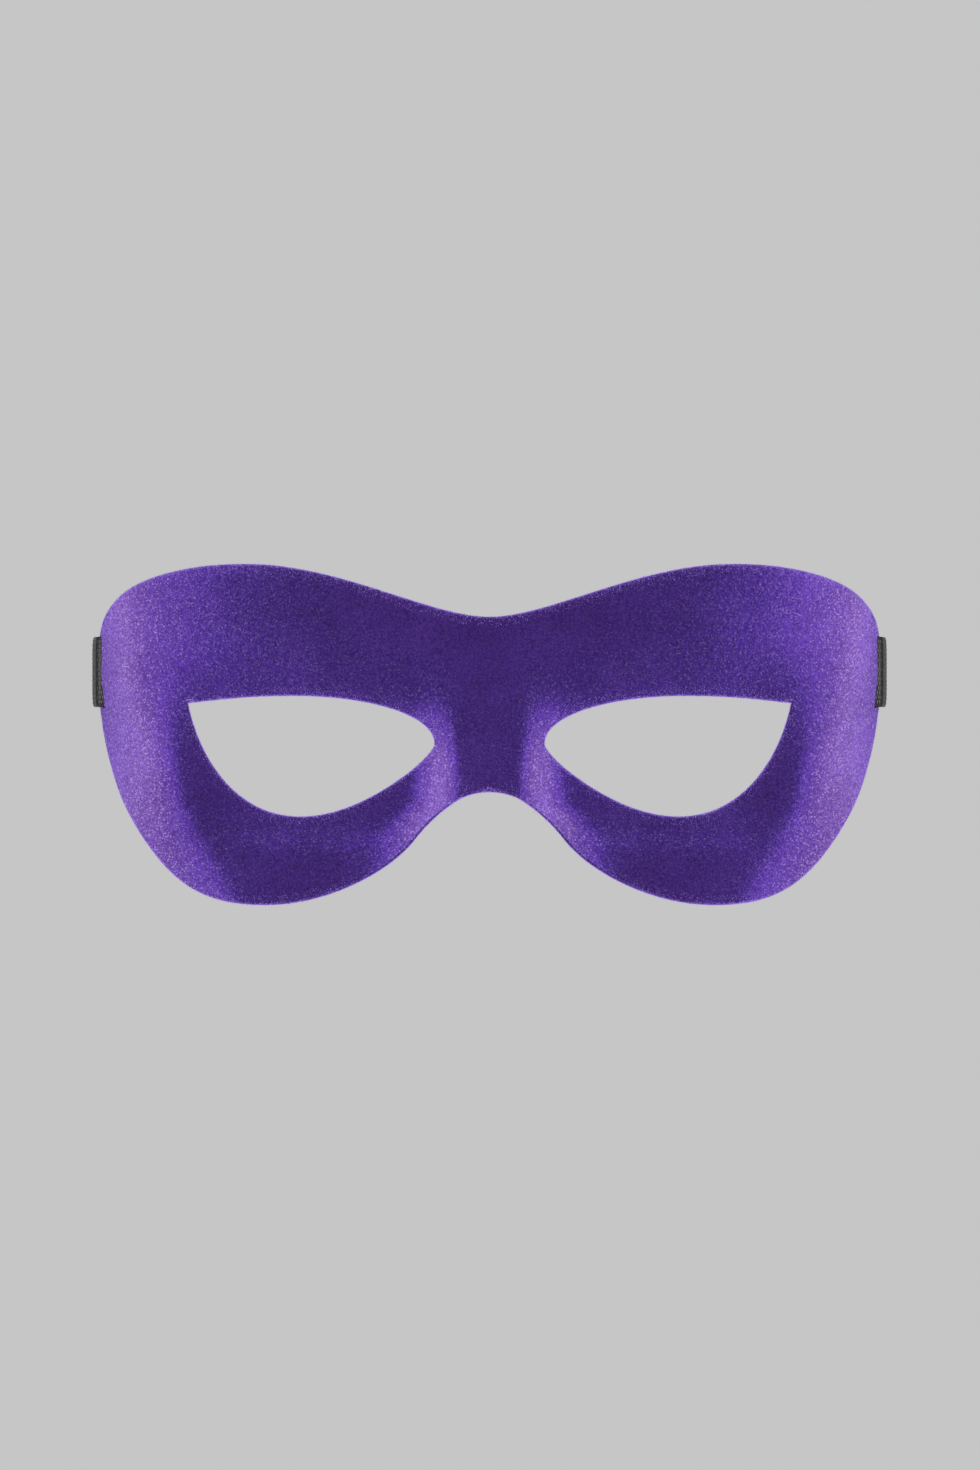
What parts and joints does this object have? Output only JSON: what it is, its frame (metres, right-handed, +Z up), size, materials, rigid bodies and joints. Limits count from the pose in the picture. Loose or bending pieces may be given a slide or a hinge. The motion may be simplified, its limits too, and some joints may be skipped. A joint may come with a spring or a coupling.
{
  "type": "velvet eye mask",
  "caption": "Half-face costume mask, a moulded shell covered in purple velvet with two eye holes, held on by a flat black elastic strap round the head.",
  "frame": {"origin": "on the inner face of the bridge between the eyes, where the mask sits on the nose", "axes": "+X across the face, -Y out of the velvet front, +Y back towards the head, +Z up"},
  "size_m": [0.181, 0.1919, 0.0754],
  "materials": {
    "velvet": "short-pile purple velvet over a moulded shell, plain felted inner face",
    "elastic": "black woven elastic tape, matt, with fine lengthwise ribs"
  },
  "bodies": {
    "root": {"mask_shell": "velvet", "elastic_strap": "elastic"}
  },
  "joints": []
}
